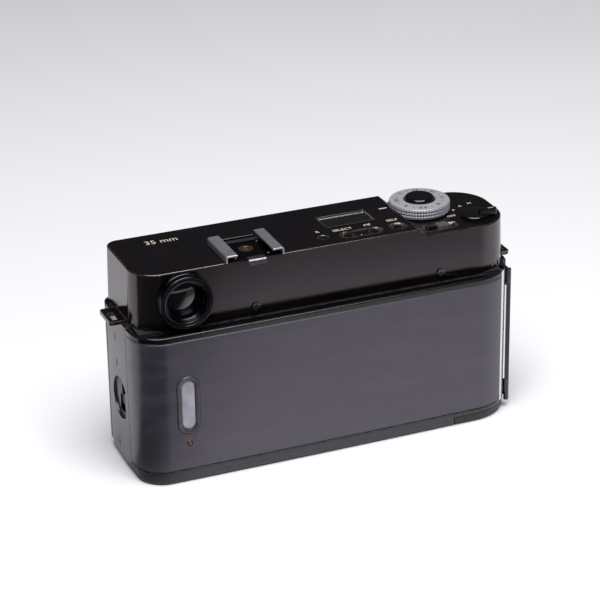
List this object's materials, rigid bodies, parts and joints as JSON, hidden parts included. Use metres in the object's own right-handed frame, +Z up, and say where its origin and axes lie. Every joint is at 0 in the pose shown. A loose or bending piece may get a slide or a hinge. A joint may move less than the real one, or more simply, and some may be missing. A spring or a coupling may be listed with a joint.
{
  "type": "rangefinder camera",
  "caption": "Compact 35 mm autofocus camera with hinged film door, sliding hood, top dial, accessory shoe and tripod socket.",
  "frame": {"origin": "centre of the tripod socket's mouth in the flat underside", "axes": "+Z up, lens looks along -Y, film door on +Y, cartridge and eyepiece at the +X end"},
  "size_m": [0.1471, 0.0649, 0.0775],
  "materials": {
    "body_black": "satin black lacquer",
    "cover_black": "semi-gloss black lacquer",
    "door_black": "satin black lacquer",
    "door_skin": "soft satin coating",
    "grip_rubber": "fine grained",
    "black_plastic": "moulded",
    "gloss_black": "polished",
    "silver": "satin, knurled",
    "lens_black": "black anodised",
    "bright_steel": "satin chrome",
    "spring_steel": "rolled",
    "cast_body": "matt black die casting",
    "brass": "turned",
    "copper": "worn rivet",
    "glass": "coated optical glass",
    "pane_grey": "clear window over pale grey",
    "display_glass": "smoked window",
    "foam": "light seal foam",
    "board_green": "circuit board",
    "gear_white": "acetal",
    "blade_steel": "blackened"
  },
  "bodies": {
    "body": {"chassis": "cast_body", "front_cover": "body_black", "front_grip": "grip_rubber", "end_plate_latch_side": "body_black", "end_plate_hinge_side": "body_black", "case_screws": "lens_black", "strap_lugs": "body_black", "top_cover": "cover_black", "eyepiece_ring": "lens_black", "eyepiece_lens": "glass", "finder_block": "black_plastic", "finder_window": "glass", "front_windows": "glass", "display_window": "display_glass", "main_board": "board_green", "accessory_shoe": "bright_steel", "shoe_spring": "spring_steel", "shoe_contact": "black_plastic", "bottom_cover": "body_black", "bottom_plate": "body_black", "tripod_socket": "brass", "hinge_knuckles": "body_black", "hinge_pin": "spring_steel", "wind_motor": "spring_steel", "rewind_motor": "spring_steel", "lens_barrel": "lens_black"},
    "back_door": {"door_shell": "door_black", "door_panel": "door_skin", "door_catch": "spring_steel", "door_seals": "foam", "door_rivet": "copper", "window_frame": "door_black", "window_pane": "pane_grey"},
    "film_pressure_plate": {"pressure_plate": "blade_steel", "pressure_spring": "spring_steel"},
    "door_latch": {"door_release": "black_plastic"},
    "shutter_release": {"release_button": "gloss_black"},
    "dial": {"aperture_dial": "silver"},
    "main_switch": {"mode_switch": "lens_black"},
    "plus_minus_slider": {"setting_slider": "black_plastic"},
    "select_key": {"select_button": "black_plastic"},
    "focus_key": {"focus_button": "black_plastic"},
    "timer_key": {"timer_button": "black_plastic"},
    "rewind_key": {"rewind_button": "black_plastic"},
    "battery_door": {"battery_lid": "black_plastic"},
    "battery_catch": {"lid_latch": "black_plastic"},
    "film_spool": {"takeup_spool": "black_plastic"},
    "wind_pinion": {"motor_pinion": "brass"},
    "wind_idler": {"idler_gear": "gear_white"},
    "film_sprocket": {"sprocket": "bright_steel"},
    "fork": {"rewind_fork": "gear_white"},
    "rewind_drive": {"rewind_pinion": "brass"},
    "hood": {"lens_hood": "lens_black"},
    "focus_unit": {"focus_barrel": "lens_black", "front_ring": "lens_black", "front_element": "glass", "rear_element": "glass", "shutter_housing": "black_plastic"},
    "blade_a": {"shutter_blade_a": "blade_steel"},
    "blade_b": {"shutter_blade_b": "blade_steel"}
  },
  "joints": [
    {"name": "door_hinge", "type": "hinge", "parent": "body", "child": "back_door", "pos_m": [-0.0675, 0.0127, 0.029], "axis": [0, 0, 1], "range_deg": [0, 115]},
    {"name": "pressure_plate_travel", "type": "slide", "parent": "back_door", "child": "film_pressure_plate", "axis": [0, 1, 0], "range_m": [-0.0002, 0.0008], "stiffness_N_per_m": 400},
    {"name": "door_latch_travel", "type": "slide", "parent": "body", "child": "door_latch", "axis": [0, 0, -1], "range_m": [0, 0.0045], "stiffness_N_per_m": 300},
    {"name": "release_travel", "type": "slide", "parent": "body", "child": "shutter_release", "axis": [0, 0, -1], "range_m": [0, 0.0009], "stiffness_N_per_m": 900},
    {"name": "aperture_turn", "type": "hinge", "parent": "body", "child": "dial", "pos_m": [-0.04295, -0.0084, 0.07143], "axis": [0, 0, 1], "range_deg": [-100, 100]},
    {"name": "switch_turn", "type": "hinge", "parent": "body", "child": "main_switch", "pos_m": [-0.05805, 0.004, 0.07143], "axis": [0, 0, -1], "range_deg": [0, 85]},
    {"name": "setting_travel", "type": "slide", "parent": "body", "child": "plus_minus_slider", "axis": [1, 0, 0], "range_m": [-0.0015, 0.0015], "stiffness_N_per_m": 500},
    {"name": "select_travel", "type": "slide", "parent": "body", "child": "select_key", "axis": [0, 0, -1], "range_m": [0, 0.0005], "stiffness_N_per_m": 500},
    {"name": "focus_key_travel", "type": "slide", "parent": "body", "child": "focus_key", "axis": [0, 0, -1], "range_m": [0, 0.0005], "stiffness_N_per_m": 500},
    {"name": "timer_travel", "type": "slide", "parent": "body", "child": "timer_key", "axis": [0, 0, -1], "range_m": [0, 0.0005], "stiffness_N_per_m": 500},
    {"name": "rewind_travel", "type": "slide", "parent": "body", "child": "rewind_key", "axis": [0, 0, -1], "range_m": [0, 0.0005], "stiffness_N_per_m": 500},
    {"name": "battery_door_hinge", "type": "hinge", "parent": "body", "child": "battery_door", "pos_m": [-0.04495, 0, 0.0007], "axis": [0, -1, 0], "range_deg": [0, 100]},
    {"name": "battery_catch_travel", "type": "slide", "parent": "battery_door", "child": "battery_catch", "axis": [1, 0, 0], "range_m": [0, 0.0009], "stiffness_N_per_m": 300},
    {"name": "spool_turn", "type": "hinge", "parent": "body", "child": "film_spool", "pos_m": [-0.0344, 0.0045, 0.0296], "axis": [0, 0, 1], "continuous": true},
    {"name": "wind_pinion_turn", "type": "hinge", "parent": "body", "child": "wind_pinion", "pos_m": [-0.0344, 0.0045, 0.0553], "axis": [0, 0, 1], "continuous": true},
    {"name": "idler_turn", "type": "hinge", "parent": "body", "child": "wind_idler", "pos_m": [-0.02518, -0.00195, 0.0553], "axis": [0, 0, 1], "continuous": true},
    {"name": "sprocket_turn", "type": "hinge", "parent": "body", "child": "film_sprocket", "pos_m": [-0.0149, 0.01046, 0.0296], "axis": [0, 0, 1], "continuous": true},
    {"name": "fork_turn", "type": "hinge", "parent": "body", "child": "fork", "pos_m": [0.05235, 0.005, 0.0296], "axis": [0, 0, 1], "continuous": true},
    {"name": "rewind_pinion_turn", "type": "hinge", "parent": "body", "child": "rewind_drive", "pos_m": [0.04385, 0.005, 0.0553], "axis": [0, 0, 1], "continuous": true},
    {"name": "hood_travel", "type": "slide", "parent": "body", "child": "hood", "axis": [0, -1, 0], "range_m": [0, 0.012]},
    {"name": "focus_travel", "type": "slide", "parent": "body", "child": "focus_unit", "axis": [0, -1, 0], "range_m": [0, 0.0025]},
    {"name": "blade_a_swing", "type": "hinge", "parent": "focus_unit", "child": "blade_a", "pos_m": [-0.001, -0.0225, 0.0296], "axis": [0, -1, 0], "range_deg": [0, 62]},
    {"name": "blade_b_swing", "type": "hinge", "parent": "focus_unit", "child": "blade_b", "pos_m": [0.021, -0.0225, 0.0296], "axis": [0, -1, 0], "range_deg": [0, 62]}
  ],
  "couplings": [
    {"joint": "idler_turn", "follows": "spool_turn", "ratio": -2},
    {"joint": "wind_pinion_turn", "follows": "spool_turn", "ratio": 7},
    {"joint": "rewind_pinion_turn", "follows": "fork_turn", "ratio": -2.4},
    {"joint": "blade_b_swing", "follows": "blade_a_swing", "ratio": 1}
  ]
}
